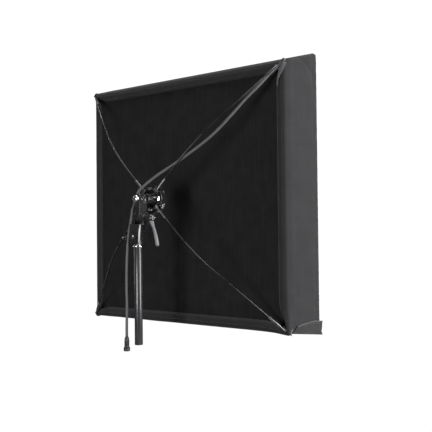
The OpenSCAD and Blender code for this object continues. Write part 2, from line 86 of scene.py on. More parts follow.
# ---------- Camera ----------
CAMERA_PLACE = (-1.065, 1.134, 0.266)
CAMERA_FORWARD = (0.5940, -0.8042, 0.0209)
CAMERA_ROLL = math.radians(-0.57)
CAMERA_LENS = 54.98
SENSOR_WIDTH = 36


def add_camera():
    """The viewpoint: behind the softbox and to its right, a little below its middle."""
    data = bpy.data.cameras.new("camera")
    data.lens = CAMERA_LENS
    data.sensor_width = SENSOR_WIDTH
    forward = Vector(CAMERA_FORWARD).normalized()
    right = forward.cross(UP).normalized()
    up = right.cross(forward)
    axis_x = math.cos(CAMERA_ROLL) * right + math.sin(CAMERA_ROLL) * up
    axis_y = math.cos(CAMERA_ROLL) * up - math.sin(CAMERA_ROLL) * right
    turn = Matrix((axis_x, axis_y, -forward)).transposed().to_4x4()
    camera = linked("camera", data)
    camera.matrix_world = Matrix.Translation(CAMERA_PLACE) @ turn
    bpy.context.scene.camera = camera


add_camera()


# ---------- Mesh helpers ----------
def mesh_object(name, points, faces, uvs=None, smooth=True):
    """A mesh object. uvs gives each face corner's place on the flat cloth, in metres."""
    mesh = bpy.data.meshes.new(name)
    mesh.from_pydata([tuple(p) for p in points], [], faces)
    if uvs is not None:
        layer = mesh.uv_layers.new(name="cloth")
        flat = [c for face in uvs for uv in face for c in uv]
        layer.data.foreach_set("uv", flat)
    mesh.polygons.foreach_set("use_smooth", [smooth] * len(mesh.polygons))
    mesh.update()
    return linked(name, mesh)


def grid_object(name, rows, flat, closed=False):
    """A sheet through rows of points. flat holds each point's place on the flat cloth.

    closed joins the rows' ends.
    """
    count = len(rows[0])
    points = [p for row in rows for p in row]
    faces, uvs = [], []
    for i in range(len(rows) - 1):
        for j in range(count if closed else count - 1):
            k = (j + 1) % count
            faces.append((i * count + j, i * count + k, (i + 1) * count + k, (i + 1) * count + j))
            end = j + 1
            uvs.append((flat[i][j], flat[i][end], flat[i + 1][end], flat[i + 1][j]))
    return mesh_object(name, points, faces, uvs)


def tube_rings(path, radius, sides):
    """Rings round a path, each turned as little as possible from the one before."""
    line = [Vector(p) for p in path]
    last = len(line) - 1
    directions = [(line[min(i + 1, last)] - line[max(i - 1, 0)]).normalized() for i in range(len(line))]
    side = directions[0].orthogonal().normalized()
    rings = []
    for i, (point, along) in enumerate(zip(line, directions)):
        side = (side - side.dot(along) * along).normalized()
        other = along.cross(side)
        r = radius[i] if hasattr(radius, "__len__") else radius
        rings.append([
            point + r * (math.cos(a) * side + math.sin(a) * other)
            for a in (2 * math.pi * k / sides for k in range(sides))
        ])
    return rings


def rings_object(name, rings, capped=True, closed=False):
    """A skin over rings of equal count. UVs run round the ring and along the rings, in metres."""
    sides = len(rings[0])
    points = [p for ring in rings for p in ring]
    faces, uvs, along = [], [], 0.0
    width = 2 * MM
    last = len(rings) if closed else len(rings) - 1
    for i in range(last):
        n = (i + 1) % len(rings)
        step = (Vector(rings[n][0]) - Vector(rings[i][0])).length
        for k in range(sides):
            m = (k + 1) % sides
            faces.append((i * sides + k, i * sides + m, n * sides + m, n * sides + k))
            uvs.append(((k * width, along), ((k + 1) * width, along),
                        ((k + 1) * width, along + step), (k * width, along + step)))
        along += step
    if capped and not closed:
        first = list(range(sides))[::-1]
        end = [(len(rings) - 1) * sides + k for k in range(sides)]
        faces += [first, end]
        uvs += [[(0, 0)] * sides, [(0, along)] * sides]
    return mesh_object(name, points, faces, uvs)


def tube_object(name, path, radius, sides=16):
    return rings_object(name, tube_rings(path, radius, sides))


def lathe_object(name, outline, origin, axis, steps=48, wave=None):
    """Turns an outline of (radius, distance along the axis), in millimetres, round the axis."""
    z = Vector(axis).normalized()
    x = z.orthogonal().normalized()
    y = z.cross(x)
    start = Vector(origin)
    rings = []
    for radius, height in outline:
        ring = []
        for k in range(steps):
            a = 2 * math.pi * k / steps
            r = (radius + (wave(a, height) if wave else 0)) * MM
            ring.append(start + z * height * MM + r * (math.cos(a) * x + math.sin(a) * y))
        rings.append(ring)
    return rings_object(name, rings)


def joined(name, parts):
    """One object from several, with their UVs."""
    points, faces, uvs = [], [], []
    for part in parts:
        start = len(points)
        mesh = part.data
        points += [part.matrix_world @ v.co for v in mesh.vertices]
        layer = mesh.uv_layers["cloth"].data
        for polygon in mesh.polygons:
            faces.append([start + v for v in polygon.vertices])
            uvs.append([tuple(layer[i].uv) for i in polygon.loop_indices])
        bpy.data.objects.remove(part)
    return mesh_object(name, points, faces, uvs)


def thicken(obj, thickness, offset=0.0):
    """Gives a sheet its real thickness, closed round the edge."""
    modifier = obj.modifiers.new("thickness", "SOLIDIFY")
    modifier.thickness = thickness
    modifier.offset = offset
    modifier.use_even_offset = False
    return obj


def rounded(obj, width, angle):
    """Rounds an object's hard edges and shades it smooth between them."""
    weld = obj.modifiers.new("weld", "WELD")
    weld.merge_threshold = 0.002 * MM
    bevel = obj.modifiers.new("edges", "BEVEL")
    bevel.width = width
    bevel.segments = 2
    bevel.limit_method = "ANGLE"
    bevel.angle_limit = math.radians(angle)
    bevel.harden_normals = False
    obj.data.polygons.foreach_set("use_smooth", [True] * len(obj.data.polygons))
    obj.data.set_sharp_from_angle(angle=math.radians(angle))
    return obj


def place(obj, body, slot, *replaced, shade=None):
    """Rides a new piece on its body, with its shade's material, or its slot's when no shade is given, and hides
    the CAD nodes it stands for.
    """
    obj.data.materials.clear()
    obj.data.materials.append(SHADES[shade or slot])
    if body:
        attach(obj, body)
    if replaced:
        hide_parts(*replaced)
    return obj


def smooth_step(t):
    t = min(1.0, max(0.0, t))
    return t * t * (3 - 2 * t)


def bell(distance, width):
    return math.exp(-((distance / width) ** 2) / 2)


def ripple(x, y, z, size, seed=0.0):
    """Smooth noise from about -1 to 1, with bumps of about that size."""
    return noise.noise(Vector((x / size + seed, y / size - seed, z / size + 2 * seed)))


# ---------- Materials ----------
class Paint:
    """The node tree of one material."""

    def __init__(self, name, color, roughness, metallic=0.0, specular=0.5, sheen=0.0, coat=0.0,
                 coat_roughness=0.12):
        self.material = bpy.data.materials.new(name)
        self.material.use_nodes = True
        self.tree = self.material.node_tree
        self.shader = self.tree.nodes["Principled BSDF"]
        self.color = color
        self.roughness = roughness
        self.put(self.shader, {
            "Base Color": (*color, 1), "Roughness": roughness, "Metallic": metallic,
            "Specular IOR Level": specular, "Sheen Weight": sheen, "Sheen Roughness": 0.5,
            "Coat Weight": coat, "Coat Roughness": coat_roughness,
        })

    def node(self, kind, **values):
        made = self.tree.nodes.new("ShaderNode" + kind)
        for key, value in values.items():
            setattr(made, key, value)
        return made

    def link(self, source, target):
        self.tree.links.new(source, target)

    def put(self, node, values):
        """Fills a node's inputs, each with a value or with a link from another node's output."""
        for key, value in values.items():
            if isinstance(value, bpy.types.NodeSocket):
                self.link(value, node.inputs[key])
            else:
                node.inputs[key].default_value = value
        return node

    def math(self, operation, a, b=0.5):
        return self.put(self.node("Math", operation=operation), {0: a, 1: b}).outputs[0]

    def scaled(self, source, stretch):
        return self.put(self.node("Mapping"), {"Scale": stretch, "Vector": source}).outputs[0]

    def object_place(self, stretch=(1, 1, 1)):
        """Object coordinates, scaled along each axis."""
        return self.scaled(self.node("TexCoord").outputs["Object"], stretch)

    def cloth_place(self, stretch=(1, 1, 1)):
        """The place on the flat cloth, in metres, scaled along each axis."""
        return self.scaled(self.node("UVMap", uv_map="cloth").outputs["UV"], stretch)

    def noise(self, place, scale, detail=3.0, rough=0.55):
        made = self.node("TexNoise")
        self.put(made, {"Scale": scale, "Detail": detail, "Roughness": rough, "Vector": place})
        return made.outputs["Fac"]

    def spread(self, value, low, high, to_low, to_high):
        """Maps a value's range from low..high to to_low..to_high, held at the ends."""
        made = self.node("MapRange")
        self.put(made, {"From Min": low, "From Max": high, "To Min": to_low, "To Max": to_high})
        self.link(value, made.inputs["Value"])
        return made.outputs[0]

    def tint(self, factor, darker, lighter):
        """Colours the surface from the base colour times darker to the base colour times lighter."""
        made = self.node("Mix", data_type="RGBA")
        low = (*[c * darker for c in self.color], 1)
        high = (*[min(1, c * lighter) for c in self.color], 1)
        self.put(made, {"A": low, "B": high, "Factor": factor})
        self.link(made.outputs["Result"], self.shader.inputs["Base Color"])
        return made.outputs["Result"]

    def rough(self, factor, spread):
        value = self.spread(factor, 0.3, 0.7, self.roughness - spread, self.roughness + spread)
        self.link(value, self.shader.inputs["Roughness"])

    def bump(self, height, depth, strength=1.0):
        made = self.put(self.node("Bump"), {"Strength": strength, "Distance": depth, "Height": height})
        self.link(made.outputs[0], self.shader.inputs["Normal"])

    def weave(self, pitch):
        """Height of a plain weave whose threads lie pitch apart, from 0 to 1."""
        separate = self.node("SeparateXYZ")
        self.link(self.cloth_place(), separate.inputs[0])
        turn = math.pi / pitch
        across = self.math("SINE", self.math("MULTIPLY", separate.outputs[0], turn))
        along = self.math("SINE", self.math("MULTIPLY", separate.outputs[1], turn))
        return self.math("MULTIPLY_ADD", self.math("MULTIPLY", across, along), 0.5)


def cloth_paint(name, color, pitch, specular=0.12, sheen=0.15, mottle=0.25, streak=0.0, depth=0.12,
                contrast=1.0):
    """Woven cloth: thread weave, fine grain from uneven threads, soft blotches, and slubs along the warp."""
    paint = Paint(name, color, 0.9, specular=specular, sheen=sheen)
    weave = paint.weave(pitch)
    grain = paint.noise(paint.cloth_place(), 420, 2.0)
    blotch = paint.noise(paint.cloth_place(), 28, 3.0)
    slub = paint.noise(paint.cloth_place((260, 9, 1)), 1.0, 2.0)
    value = paint.math("MULTIPLY", grain, mottle)
    for part, share in ((blotch, mottle * 0.8), (slub, 0.15 + streak), (weave, 0.25)):
        value = paint.math("ADD", value, paint.math("MULTIPLY", part, share))
    middle = 0.5 * (mottle * 1.8 + 0.15 + streak) + 0.125
    tone = paint.spread(value, middle - 0.28, middle + 0.28, 0, 1)
    paint.tint(tone, 1 - 0.38 * contrast, 1 + 0.45 * contrast)
    paint.rough(grain, 0.05)
    height = paint.math("ADD", weave, paint.math("MULTIPLY", grain, 0.8))
    paint.bump(height, depth * MM, 0.6)
    return paint.material


def skin_paint(name, color, roughness, broad, fine, tones, spread, relief, stretch=((1, 1, 1), (1, 1, 1)),
               **values):
    """A skin whose tone and gloss follow a broad noise, and whose relief follows a fine one.

    broad and fine are (scale, detail, roughness), and stretch scales their axes. tones is (darkest,
    lightest), spread how far the gloss varies, and relief (depth in millimetres, strength).
    """
    paint = Paint(name, color, roughness, **values)
    tone = paint.noise(paint.object_place(stretch[0]), *broad)
    grain = paint.noise(paint.object_place(stretch[1]), *fine)
    paint.tint(tone, *tones)
    if spread:
        paint.rough(tone, spread)
    paint.bump(grain, relief[0] * MM, relief[1])
    return paint.material


# Gloss paint over a casting: faint orange peel, dust and rubbed patches
CASTING = {"broad": (60, 5.0, 0.65), "fine": (420, 2.0, 0.55), "tones": (0.8, 1.3), "spread": 0.08,
           "relief": (0.05, 0.4)}
# Moulded plastic with a fine spark-eroded grain
PLASTIC = {"broad": (70, 3.0, 0.55), "fine": (1300, 2.0, 0.55), "tones": (0.75, 1.35), "spread": 0.07,
           "relief": (0.05, 0.5)}
# Gloss black paint on the stand's tube, with the faint drawn lines of the tube along it
TUBE = {"broad": (90, 4.0, 0.6), "fine": (900, 3.0, 0.6), "tones": (0.75, 1.4), "spread": 0.06,
        "relief": (0.03, 0.5), "stretch": ((1, 1, 0.25), (1, 1, 0.02))}
# The lead's soft sheath: satin, with a fine grain and a dusty bloom
SHEATH = {"broad": (120, 4.0, 0.6), "fine": (1500, 2.0, 0.55), "tones": (0.7, 1.5), "spread": 0.08,
          "relief": (0.04, 0.5)}
# The looped side of touch tape: matt, with fine loops
PILE = {"broad": (900, 4.0, 0.7), "fine": (900, 4.0, 0.7), "tones": (0.5, 1.7), "spread": 0,
        "relief": (0.6, 1.0)}
# Twisted sewing thread
THREAD = {"broad": (2200, 2.0, 0.55), "fine": (2200, 2.0, 0.55), "tones": (0.6, 1.5), "spread": 0,
          "relief": (0.08, 1.0)}


def metal_paint(name, color, roughness, scale=300, scratch=0.5):
    """Bare or plated metal, with fine marks and a cloudy gloss."""
    paint = Paint(name, color, roughness, metallic=1.0)
    marks = paint.noise(paint.object_place(), scale, 4.0, 0.7)
    cloud = paint.noise(paint.object_place(), 45, 3.0)
    paint.tint(marks, 0.82, 1.12)
    paint.rough(cloud, min(0.1, roughness * 0.5))
    paint.bump(marks, 0.02 * MM, scratch)
    return paint.material


def lining_paint(name, color):
    """Reflective coated cloth with fine crinkles."""
    paint = Paint(name, color, 0.34, metallic=0.85)
    crinkle = paint.noise(paint.cloth_place(), 140, 5.0, 0.65)
    weave = paint.weave(0.8 * MM)
    paint.tint(crinkle, 0.8, 1.15)
    paint.rough(crinkle, 0.1)
    paint.bump(paint.math("ADD", crinkle, paint.math("MULTIPLY", weave, 0.12)), 0.9 * MM, 0.7)
    return paint.material


def board_paint(name, color, track, pitch):
    """The flexible circuit: white coating, with copper tracks showing through as faint bands."""
    paint = Paint(name, color, 0.42, specular=0.5)
    separate = paint.node("SeparateXYZ")
    paint.link(paint.cloth_place(), separate.inputs[0])
    wave = paint.math("SINE", paint.math("MULTIPLY", separate.outputs[1], 2 * math.pi / pitch))
    band = paint.spread(wave, 0.75, 0.95, 0, 1)
    cloud = paint.noise(paint.cloth_place(), 40, 3.0)
    mix = paint.node("Mix", data_type="RGBA")
    share = paint.math("MULTIPLY", band, 0.55)
    paint.put(mix, {"A": paint.tint(cloud, 0.9, 1.05), "B": (*track, 1), "Factor": share})
    paint.link(mix.outputs["Result"], paint.shader.inputs["Base Color"])
    paint.bump(band, 0.05 * MM)
    return paint.material


SHADES = {
    "box_cloth": cloth_paint("box_cloth", (0.0185, 0.0185, 0.0195), 0.9 * MM, specular=0.07, sheen=0.05,
                             mottle=0.4, streak=0.1),
    "panel_cloth": cloth_paint("panel_cloth", (0.0115, 0.0115, 0.0122), 0.7 * MM, specular=0.04, sheen=0.0,
                               mottle=0.6, streak=0.35),
    "white_cloth": cloth_paint("white_cloth", (0.82, 0.82, 0.81), 0.6 * MM, specular=0.3, sheen=0.1,
                               mottle=0.05, depth=0.06, contrast=0.1),
    # The flap's cloth is the box cloth painted darker: painted shade for the flap's face catching less light.
    "flap_shaded_cloth": cloth_paint("flap_shaded_cloth", (0.015, 0.015, 0.016), 0.9 * MM, mottle=0.35),
    # The piping's cloth is painted lighter than the box cloth: partly the trim's own tone, partly a painted
    # highlight along the flange's inner edge and the flap's hem.
    "highlit_piping": cloth_paint("highlit_piping", (0.03, 0.03, 0.032), 0.6 * MM, sheen=0.3),
    "strap": cloth_paint("strap", (0.075, 0.075, 0.078), 0.6 * MM, sheen=0.3),
    "touch_tape": skin_paint("touch_tape", (0.012, 0.012, 0.013), 0.95, **PILE, specular=0.1, sheen=0.3),
    "board": cloth_paint("board", (0.10, 0.09, 0.08), 1.2 * MM, mottle=0.2),
    "thread": skin_paint("thread", (0.035, 0.035, 0.037), 0.7, **THREAD, specular=0.3, sheen=0.3),
    "white_thread": skin_paint("white_thread", (0.7, 0.7, 0.69), 0.7, **THREAD, specular=0.3, sheen=0.3),
    "silver_lining": lining_paint("silver_lining", (0.62, 0.63, 0.64)),
    "led_board": board_paint("led_board", (0.78, 0.76, 0.68), (0.72, 0.52, 0.30), 12 * MM),
    "led_yellow": skin_paint("led_yellow", (0.85, 0.62, 0.16), 0.25, **PLASTIC, specular=0.6),
    "stand_metal": skin_paint("stand_metal", (0.022, 0.022, 0.024), 0.27, **TUBE, specular=0.4, coat=0.15,
                              coat_roughness=0.08),
    "black_casting": skin_paint("black_casting", (0.012, 0.012, 0.013), 0.22, **CASTING, coat=0.3),
    # A lighter grey copy of the casting paint for the lever's handle: partly the handle's own tone, partly a
    # painted highlight.
    "highlit_satin_casting": skin_paint("highlit_satin_casting", (0.1, 0.1, 0.104), 0.4, **CASTING),
    "black_plastic": skin_paint("black_plastic", (0.016, 0.016, 0.017), 0.45, **PLASTIC, specular=0.4),
    "chrome": metal_paint("chrome", (0.86, 0.87, 0.88), 0.09, scale=90, scratch=0.15),
    "steel": metal_paint("steel", (0.56, 0.57, 0.58), 0.3),
    "brass": metal_paint("brass", (0.62, 0.46, 0.20), 0.28),
    "rod_steel": metal_paint("rod_steel", (0.042, 0.042, 0.044), 0.32, scale=500, scratch=0.15),
    "sleeve_metal": metal_paint("sleeve_metal", (0.12, 0.12, 0.125), 0.36, scale=500),
    "lead_sheath": skin_paint("lead_sheath", (0.045, 0.045, 0.047), 0.48, **SHEATH, specular=0.45),
}

# ---------- Lead ----------
LEAD_D = 6.4 * MM
UPPER_ROUTE = [
    (-303, -151, 643), (-297.5, -147.8, 636.5), (-286.3, -142, 625), (-276.5, -136.5, 614),
    (-264.5, -129, 599), (-252, -121.3, 584.3), (-240, -115, 571.5), (-227, -108.5, 557),
    (-215, -100.5, 541), (-202, -92, 524), (-187, -84, 506), (-169, -76.5, 488), (-147, -68.5, 469.5),
    (-117, -60, 449), (-87, -53, 430.5), (-58, -42.5, 412), (-34, -31, 395.5), (-18, -22.5, 382.5),
    (-5, -16.5, 371.5), (5.5, -14, 362.5), (11.5, -12, 353), (14, -9.5, 343), (14.5, -6, 333),
    (15, -2, 322), (16, 2, 311),
]
LOWER_ROUTE = [
    (19, 9, 268), (20, 10.5, 256), (21, 11.5, 243), (22, 12.5, 228), (23.5, 13.5, 198),
    (24.5, 14, 162), (24.5, 14.5, 126), (24, 14, 92), (24.5, 14, 62), (25, 14, 38), (25, 14, 18),
]


def smooth_route(route, steps):
    """Points of a smooth curve through a route, steps of them for each stretch."""
    points = [Vector(p) * MM for p in route]
    curve = []
    for i in range(len(points) - 1):
        a, b = points[max(i - 1, 0)], points[i]
        c, d = points[i + 1], points[min(i + 2, len(points) - 1)]
        for s in range(steps):
            t = s / steps
            square = (2 * a - 5 * b + 4 * c - d) * t * t
            cube = (3 * b - a - 3 * c + d) * t ** 3
            curve.append(0.5 * (2 * b + (c - a) * t + square + cube))
    return curve + [points[-1]]


def route_length(path):
    return sum((b - a).length for a, b in zip(path, path[1:]))


def add_gland(path):
    """Tapered, ribbed strain relief at the lead's upper end."""
    along = (path[1] - path[0]).normalized()
    start = path[0] - 12 * MM * along
    outline = [(0, 0), (3.6, 0), (4.5, 0.8), (4.6, 5), (4.6, 9)]
    ribs = 4
    for k in range(ribs):
        base = 10.5 + 2.4 * k
        radius = 4.3 - 0.2 * k
        outline += [(radius - 0.3, base), (radius, base + 0.5), (radius, base + 1.6),
                    (radius - 0.3, base + 2)]
    outline += [(3.4, 20.5), (3.22, 21)]
    return lathe_object("lead_strain_relief", outline, start, along, 32)


def hanging_lathe(name, node, outline, steps, wave=None):
    """A turned piece that hangs from the top of a CAD node's box."""
    low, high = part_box(node)
    top = Vector(((low.x + high.x) / 2, (low.y + high.y) / 2, high.z))
    return lathe_object(name, outline, top, (0, 0, -1), steps, wave)


def add_plug():
    """The connector on the lead's lower end: a grip with grooves, then its barrel."""
    outline = [(3.3, 0), (4.0, 0.4), (4.7, 2), (5.5, 6), (5.9, 9)]
    grooves = 5
    for k in range(grooves):
        base = 10 + 2.2 * k
        outline += [(5.9, base), (5.4, base + 0.3), (5.4, base + 0.9), (5.9, base + 1.2)]
    outline += [(5.9, 23.6), (5.6, 24), (4.95, 24.1), (4.95, 29.8), (4.7, 30), (3.6, 30), (3.4, 26), (0, 26)]
    return hanging_lathe("lead_connector", "lead_plug", outline, 40)


def add_ring_nut():
    """The knurled ring nut on the connector's barrel."""
    low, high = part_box("lead_nut")
    depth = (high.z - low.z) / MM
    outline = [(5.05, 0), (6.9, 0), (7.4, 0.5), (7.4, 2.2), (7.0, 2.4), (7.0, 2.8), (7.35, 3.0),
               (7.35, depth - 0.6), (6.9, depth), (5.05, depth), (5.05, 0)]

    def knurl(angle, height):
        return 0.14 * math.cos(24 * angle) if 3 <= height <= depth - 0.5 else 0

    return hanging_lathe("lead_ring_nut", "lead_nut", outline, 144, knurl)


def add_lead():
    path = smooth_route(UPPER_ROUTE + LOWER_ROUTE, 6)
    lead = tube_object("lead", path, LEAD_D / 2, 20)
    place(lead, None, "lead_sheath", "lead_upper", "lead_lower")
    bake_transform(lead)
    gland = place(add_gland(path), "head", "black_plastic", "lead_gland")
    plug = place(add_plug(), "receiver", "black_plastic", "lead_plug")
    nut = place(add_ring_nut(), "receiver", "black_plastic", "lead_nut")
    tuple(path[0])
    round(route_length(path), 3)


add_lead()

# ---------- The softbox's outer cloth ----------
SIDE_STEPS = 88
CORNER_STEPS = 8
SIDES = ((0, -1), (1, 0), (0, 1), (-1, 0))      # outward (x, z) of the bottom, left, top and right side
# Cut-back of the flange at each corner, as (width, reach on the side before it, reach on the side after it)
NOTCHES = {
    (1, -1): (8 * MM, 26 * MM, 26 * MM),
    (1, 1): (9 * MM, 26 * MM, 26 * MM),
    (-1, 1): (13 * MM, 28 * MM, 20 * MM),
    (-1, -1): (15 * MM, 46 * MM, 24 * MM),
}


def corner_after(side):
    """The corner, as signs of (x, z), where a side ends, going anticlockwise in the XZ plane."""
    nx, nz = SIDES[side]
    return (nx - nz, nz + nx)


def loop_columns():
    """Columns round the square, from the middle of the bottom side and back to it."""
    columns = []
    order = [(0, 0.0, 1.0), (1, -1.0, 1.0), (2, -1.0, 1.0), (3, -1.0, 1.0), (0, -1.0, 0.0)]
    for index, (side, start, end) in enumerate(order):
        steps = SIDE_STEPS if end - start > 1.5 else SIDE_STEPS // 2
        for k in range(steps):
            share = math.asin(start) + (math.asin(end) - math.asin(start)) * k / steps
            columns.append(("side", side, math.sin(share)))
        if index < 4:
            for k in range(CORNER_STEPS):
                columns.append(("corner", side, k / CORNER_STEPS))
    return columns


COLUMNS = loop_columns()


def column_point(column, half, mid, radius):
    """(x, z) and the outward direction of a column on a square of that half width and corner radius."""
    kind, side, share = column
    nx, nz = SIDES[side]
    inner = half - radius
    if kind == "corner":
        cx, cz = corner_after(side)
        angle = math.atan2(nz, nx) + share * math.pi / 2
        out = (math.cos(angle), math.sin(angle))
        return cx * inner + radius * out[0], mid + cz * inner + radius * out[1], out
    return nx * half - nz * share * inner, mid + nz * half + nx * share * inner, (nx, nz)


def column_lengths(half, radius):
    """Distance of each column from the first, round the square, and the whole way round."""
    places = [Vector(column_point(c, half, 0, radius)[:2]) for c in COLUMNS]
    steps = [(b - a).length for a, b in zip(places, places[1:] + places[:1])]
    return [0.0] + list(np.cumsum(steps))


def notch(column, half):
    """How far the flange is cut back at a column."""
    kind, side, share = column
    before, after = corner_after((side - 1) % 4), corner_after(side)
    if kind == "corner":
        return NOTCHES[after][0]
    near_after = 1 - (1 - share) * half / NOTCHES[after][1]
    near_before = 1 - (1 + share) * half / NOTCHES[before][2]
    return max(NOTCHES[after][0] * smooth_step(near_after), NOTCHES[before][0] * smooth_step(near_before))


def front_fold(x, y, z):
    """Depth of the curved fold in the side walls' cloth, where it is drawn round the front corners."""
    side = 1.0 if x < 0 else 0.6
    fold = 0.0
    for level in (1, -1):
        height = (z - FRONT_MID) * level
        arc = abs(math.hypot(y - FRONT_Y - 81 * MM, height - 235 * MM) - 82 * MM)
        if height > 225 * MM and y < FRONT_Y + 81 * MM:
            fold += bell(arc, 4.6 * MM) * (1.0 if level > 0 else 0.4)
    return 2.0 * MM * side * fold


def wall_wave(x, y, z, share):
    """How far the wall's cloth stands out, in soft waves that die out at both edges."""
    soft = ripple(x, y, z, 95 * MM, 3.1) * 1.5 * MM + ripple(x, y, z, 34 * MM, 7.7) * 0.6 * MM
    board_edge = 0.55 * MM * (bell(share - 0.13, 0.035) - 0.9 * bell(share - 0.22, 0.05))
    return (soft + board_edge) * math.sin(math.pi * share) ** 0.6


def corner_pull(x, y, z):
    """The lower right back corner is drawn outwards and down by the cloth folded under it."""
    reach = math.hypot(x + BACK_HALF, z - BACK_MID + BACK_HALF)
    pull = bell(reach, 34 * MM) * smooth_step((y - BACK_Y + 16 * MM) / (12 * MM))
    return Vector((-5.5 * MM * pull, 0, -5.5 * MM * pull))


BACK_RADIUS = 8 * MM
FRONT_RADIUS = 7 * MM
# The flange and the fold at the back: (share of the flange's width from the outline, depth below the
# back face in millimetres)
BACK_PROFILE = [
    (0.98, 9.0), (1.01, 7.2), (1.035, 5.0), (1.02, 2.8), (0.97, 1.0), (0.90, 0.05), (0.78, -0.7),
    (0.66, -1.1), (0.54, -1.3), (0.43, -1.3), (0.33, -0.9), (0.24, -0.1), (0.16, 1.2), (0.09, 3.0),
    (0.045, 5.0), (0.015, 7.6),
]
# The front fold and hem: (inset from the outline, depth past the front edge), in millimetres
FRONT_PROFILE = [
    (0.0, -3.0), (0.15, -1.2), (0.7, 0.5), (1.8, 1.7), (3.2, 2.3), (6, 2.45), (10, 2.5), (14, 2.45),
    (17, 2.3), (18, 1.2),
]
WALL_ROWS = 24


def section(y):
    """The outline's half width and middle height at a depth, and the share of the way to the front."""
    deep = (BACK_Y - y) / (BACK_Y - FRONT_Y)
    return BACK_HALF + (FRONT_HALF - BACK_HALF) * deep, BACK_MID + (FRONT_MID - BACK_MID) * deep, deep


def column_row(half, mid, radius, spot):
    """A row of points round the square. spot(x, z, out) gives each of them."""
    return [spot(*column_point(column, half, mid, radius)) for column in COLUMNS]


def flange_row(share, depth):
    """A row of the flange, at a share of its width, that many millimetres below the back face."""
    row = []
    for column in COLUMNS:
        inset = (FLANGE_W - notch(column, BACK_HALF)) * share
        radius = max(LEAST_RADIUS, BACK_RADIUS - inset * 0.8)
        x, z, out = column_point(column, BACK_HALF - inset, BACK_MID, radius)
        puff = ripple(x, 0, z, 42 * MM, 1.3) * 0.7 * MM * math.sin(math.pi * min(1, share))
        row.append((x, BACK_Y - depth * MM + puff, z))
    return row


def wall_row(y, share):
    """A row of the walls at a depth, with their waves and the curved folds of the two upright walls."""
    half, mid, deep = section(y)

    def spot(x, z, out):
        off = wall_wave(x, y, z, share)
        if abs(out[0]) > 0.7:
            off -= front_fold(x, y, z)
        return x + out[0] * off, y, z + out[1] * off

    return column_row(half, mid, BACK_RADIUS + (FRONT_RADIUS - BACK_RADIUS) * deep, spot)


def hem_row(inset, depth):
    """A row of the front fold or the hem, from its inset and its depth past the front edge."""
    radius = max(LEAST_RADIUS, FRONT_RADIUS - inset * MM * 0.6)
    y = FRONT_Y - depth * MM
    return column_row(FRONT_HALF - inset * MM, FRONT_MID, radius, lambda x, z, out: (x, y, z))


def cover_rows():
    """Rows of the outer cloth, from the flange's inner lip over the fold and the wall to the front hem."""
    wall_start = BACK_Y - BACK_PROFILE[-1][1] * MM
    wall_end = FRONT_Y + 3.5 * MM
    rows = [flange_row(share, depth) for share, depth in BACK_PROFILE]
    for k in range(1, WALL_ROWS + 1):
        share = k / (WALL_ROWS + 1)
        rows.append(wall_row(wall_start + (wall_end - wall_start) * share, share))
    rows += [hem_row(inset, depth) for inset, depth in FRONT_PROFILE]
    return [[tuple(Vector(p) + corner_pull(*p)) for p in row] for row in rows]


def flat_places(rows, around):
    """Places on the flat cloth, and its size: round it as the columns lie, across it by the rows' spacing."""
    across = [0.0]
    middle = SIDE_STEPS // 4
    for a, b in zip(rows, rows[1:]):
        across.append(across[-1] + (Vector(b[middle]) - Vector(a[middle])).length)
    return [[(s, v) for s in around] for v in across], (round(around[-1], 3), round(across[-1], 3))


def add_cover():
    rows = cover_rows()
    flat, size = flat_places(rows, column_lengths(BACK_HALF, BACK_RADIUS))
    cover = grid_object("box_cover", rows, flat, closed=True)
    thicken(cover, 0.9 * MM, 1.0)
    place(cover, "head", "box_cloth", "back_flange", "wall_top", "wall_right", "wall_bottom", "wall_left",
          "front_hem")
    return rows


cover = add_cover()


def closed_tube(name, path, radius, sides=8):
    """A tube whose end joins its start."""
    rings = tube_rings(list(path) + [path[0], path[1]], radius, sides)
    return rings_object(name, rings[:-2], closed=True)


STITCH = 2.8 * MM
STITCH_GAP = 0.9 * MM
THREAD_RADIUS = 0.28 * MM


def stitch_row(path, length, space):
    """Start, middle and end of each stitch along a closed path."""
    line = [Vector(p) for p in path] + [Vector(path[0])]
    distances = [0.0] + list(np.cumsum([(b - a).length for a, b in zip(line, line[1:])]))
    count = int(distances[-1] / (length + space))
    pitch = distances[-1] / count
    coordinates = np.array(line)
    samples = [np.arange(count) * pitch + s * (pitch - space) for s in (0.0, 0.5, 1.0)]
    return [np.stack([np.interp(s, distances, coordinates[:, k]) for k in range(3)], 1) for s in samples]


def stitches_object(name, stitch_rows, radius, outward, dip):
    """All stitches as one object: each a short thread of five rings, thin and sunk at its ends."""
    points, faces, uvs = [], [], []
    sides = 5
    sizes = [radius * 0.45, radius, radius, radius, radius * 0.45]
    for spots in stitch_rows:
        for a, b, c in zip(*spots):
            a, b, c = Vector(a), Vector(b), Vector(c)
            line = [a - outward(a) * dip, a.lerp(b, 0.4), b, b.lerp(c, 0.6), c - outward(c) * dip]
            rings = tube_rings(line, sizes, sides)
            start = len(points)
            points += [p for ring in rings for p in ring]
            for i in range(len(rings) - 1):
                for k in range(sides):
                    m = (k + 1) % sides
                    faces.append((start + i * sides + k, start + i * sides + m,
                                  start + (i + 1) * sides + m, start + (i + 1) * sides + k))
            faces.append([start + k for k in range(sides)][::-1])
            faces.append([start + (len(rings) - 1) * sides + k for k in range(sides)])
    return mesh_object(name, points, faces, [[(0, 0)] * len(f) for f in faces])


